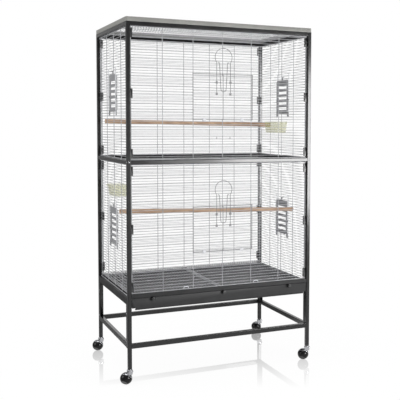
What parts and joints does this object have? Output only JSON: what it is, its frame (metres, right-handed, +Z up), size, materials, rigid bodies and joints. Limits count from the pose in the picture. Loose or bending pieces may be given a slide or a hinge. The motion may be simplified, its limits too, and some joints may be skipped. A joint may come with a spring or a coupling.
{
  "type": "bird_cage",
  "caption": "Tall two-storey bird cage of dark square tube and wire panels, with drop-down doors, slotted lift doors, pull-out tray and ball castors.",
  "frame": {"origin": "under the middle of the bounding box, on the floor", "axes": "+X to the right seen from the front, -Y to the front, +Z up"},
  "size_m": [0.864, 0.581, 1.488],
  "materials": {
    "frame_paint": "semi-gloss anthracite powder coat",
    "roof_band": "mid-grey satin paint",
    "wire": "light grey satin coat on wire",
    "tray_sheet": "satin grey coated sheet",
    "black_plastic": "black moulded",
    "lift_door_plastic": "grey moulded",
    "bowl_plastic": "pale translucent",
    "perch_wood": "bare",
    "castor_metal": "bright plated",
    "wheel_black": "black polished"
  },
  "bodies": {
    "frame": {"base_rails": "frame_paint", "bowl_lower": "bowl_plastic", "bowl_upper": "bowl_plastic", "castor_stems": "castor_metal", "door_hinges": "wire", "door_hooks": "wire", "front_base_rail": "frame_paint", "grille_centre_bar": "wire", "leg_plugs": "black_plastic", "lift_door_guides": "wire", "lower_post_front_left": "frame_paint", "lower_post_front_right": "frame_paint", "lower_post_rear_left": "frame_paint", "lower_post_rear_right": "frame_paint", "mid_rails": "frame_paint", "panel_clips": "black_plastic", "panel_front_lower": "wire", "panel_front_upper": "wire", "panel_left_lower": "wire", "panel_left_upper": "wire", "panel_rear_lower": "wire", "panel_rear_upper": "wire", "panel_right_lower": "wire", "panel_right_upper": "wire", "perch_lower": "perch_wood", "perch_upper": "perch_wood", "post_sleeves": "frame_paint", "roof_frame": "roof_band", "roof_grille": "wire", "side_frame_left": "frame_paint", "side_frame_right": "frame_paint", "stretchers": "frame_paint", "top_rails": "frame_paint", "tray_runners": "frame_paint", "upper_post_front_left": "frame_paint", "upper_post_front_right": "frame_paint", "upper_post_rear_left": "frame_paint", "upper_post_rear_right": "frame_paint"},
    "tray_body": {"tray": "tray_sheet", "tray_front": "frame_paint", "tray_knobs": "black_plastic"},
    "grille_left_body": {"floor_grille_left": "wire"},
    "grille_right_body": {"floor_grille_right": "wire"},
    "door_upper_body": {"door_upper": "wire"},
    "latch_upper_body": {"latch_upper": "wire"},
    "door_lower_body": {"door_lower": "wire"},
    "latch_lower_body": {"latch_lower": "wire"},
    "lift_left_upper_body": {"lift_door_left_upper": "lift_door_plastic"},
    "lift_left_lower_body": {"lift_door_left_lower": "lift_door_plastic"},
    "lift_right_upper_body": {"lift_door_right_upper": "lift_door_plastic"},
    "lift_right_lower_body": {"lift_door_right_lower": "lift_door_plastic"},
    "castor_front_left_body": {"castor_hood_front_left": "castor_metal"},
    "wheel_front_left_body": {"castor_wheel_front_left": "wheel_black"},
    "castor_front_right_body": {"castor_hood_front_right": "castor_metal"},
    "wheel_front_right_body": {"castor_wheel_front_right": "wheel_black"},
    "castor_rear_left_body": {"castor_hood_rear_left": "castor_metal"},
    "wheel_rear_left_body": {"castor_wheel_rear_left": "wheel_black"},
    "castor_rear_right_body": {"castor_hood_rear_right": "castor_metal"},
    "wheel_rear_right_body": {"castor_wheel_rear_right": "wheel_black"}
  },
  "joints": [
    {"name": "tray_pull", "type": "slide", "parent": "frame", "child": "tray_body", "axis": [0, -1, 0], "range_m": [0, 0.42]},
    {"name": "grille_left_lift", "type": "slide", "parent": "frame", "child": "grille_left_body", "axis": [0, 0, 1], "range_m": [0, 0.04]},
    {"name": "grille_right_lift", "type": "slide", "parent": "frame", "child": "grille_right_body", "axis": [0, 0, 1], "range_m": [0, 0.04]},
    {"name": "door_upper_hinge", "type": "hinge", "parent": "frame", "child": "door_upper_body", "pos_m": [0.01202, -0.27001, 1.082], "axis": [1, 0, 0], "range_deg": [0, 120]},
    {"name": "latch_upper_slide", "type": "slide", "parent": "door_upper_body", "child": "latch_upper_body", "axis": [0, 0, 1], "range_m": [0, 0.012]},
    {"name": "door_lower_hinge", "type": "hinge", "parent": "frame", "child": "door_lower_body", "pos_m": [0.01202, -0.27001, 0.526], "axis": [1, 0, 0], "range_deg": [0, 120]},
    {"name": "latch_lower_slide", "type": "slide", "parent": "door_lower_body", "child": "latch_lower_body", "axis": [0, 0, 1], "range_m": [0, 0.012]},
    {"name": "lift_left_upper_slide", "type": "slide", "parent": "frame", "child": "lift_left_upper_body", "axis": [0, 0, 1], "range_m": [0, 0.085]},
    {"name": "lift_left_lower_slide", "type": "slide", "parent": "frame", "child": "lift_left_lower_body", "axis": [0, 0, 1], "range_m": [0, 0.085]},
    {"name": "lift_right_upper_slide", "type": "slide", "parent": "frame", "child": "lift_right_upper_body", "axis": [0, 0, 1], "range_m": [0, 0.085]},
    {"name": "lift_right_lower_slide", "type": "slide", "parent": "frame", "child": "lift_right_lower_body", "axis": [0, 0, 1], "range_m": [0, 0.085]},
    {"name": "castor_front_left_swivel", "type": "hinge", "parent": "frame", "child": "castor_front_left_body", "pos_m": [-0.39498, -0.27051, 0.06], "axis": [0, 0, 1], "continuous": true},
    {"name": "wheel_front_left_spin", "type": "hinge", "parent": "castor_front_left_body", "child": "wheel_front_left_body", "pos_m": [-0.407, -0.25849, 0.025], "axis": [-0.5, -0.5, -0.7071], "continuous": true},
    {"name": "castor_front_right_swivel", "type": "hinge", "parent": "frame", "child": "castor_front_right_body", "pos_m": [0.41902, -0.27051, 0.06], "axis": [0, 0, 1], "continuous": true},
    {"name": "wheel_front_right_spin", "type": "hinge", "parent": "castor_front_right_body", "child": "wheel_front_right_body", "pos_m": [0.407, -0.25849, 0.025], "axis": [-0.5, -0.5, -0.7071], "continuous": true},
    {"name": "castor_rear_left_swivel", "type": "hinge", "parent": "frame", "child": "castor_rear_left_body", "pos_m": [-0.39498, 0.25349, 0.06], "axis": [0, 0, 1], "continuous": true},
    {"name": "wheel_rear_left_spin", "type": "hinge", "parent": "castor_rear_left_body", "child": "wheel_rear_left_body", "pos_m": [-0.407, 0.26551, 0.025], "axis": [-0.5, -0.5, -0.7071], "continuous": true},
    {"name": "castor_rear_right_swivel", "type": "hinge", "parent": "frame", "child": "castor_rear_right_body", "pos_m": [0.41902, 0.25349, 0.06], "axis": [0, 0, 1], "continuous": true},
    {"name": "wheel_rear_right_spin", "type": "hinge", "parent": "castor_rear_right_body", "child": "wheel_rear_right_body", "pos_m": [0.407, 0.26551, 0.025], "axis": [-0.5, -0.5, -0.7071], "continuous": true}
  ]
}
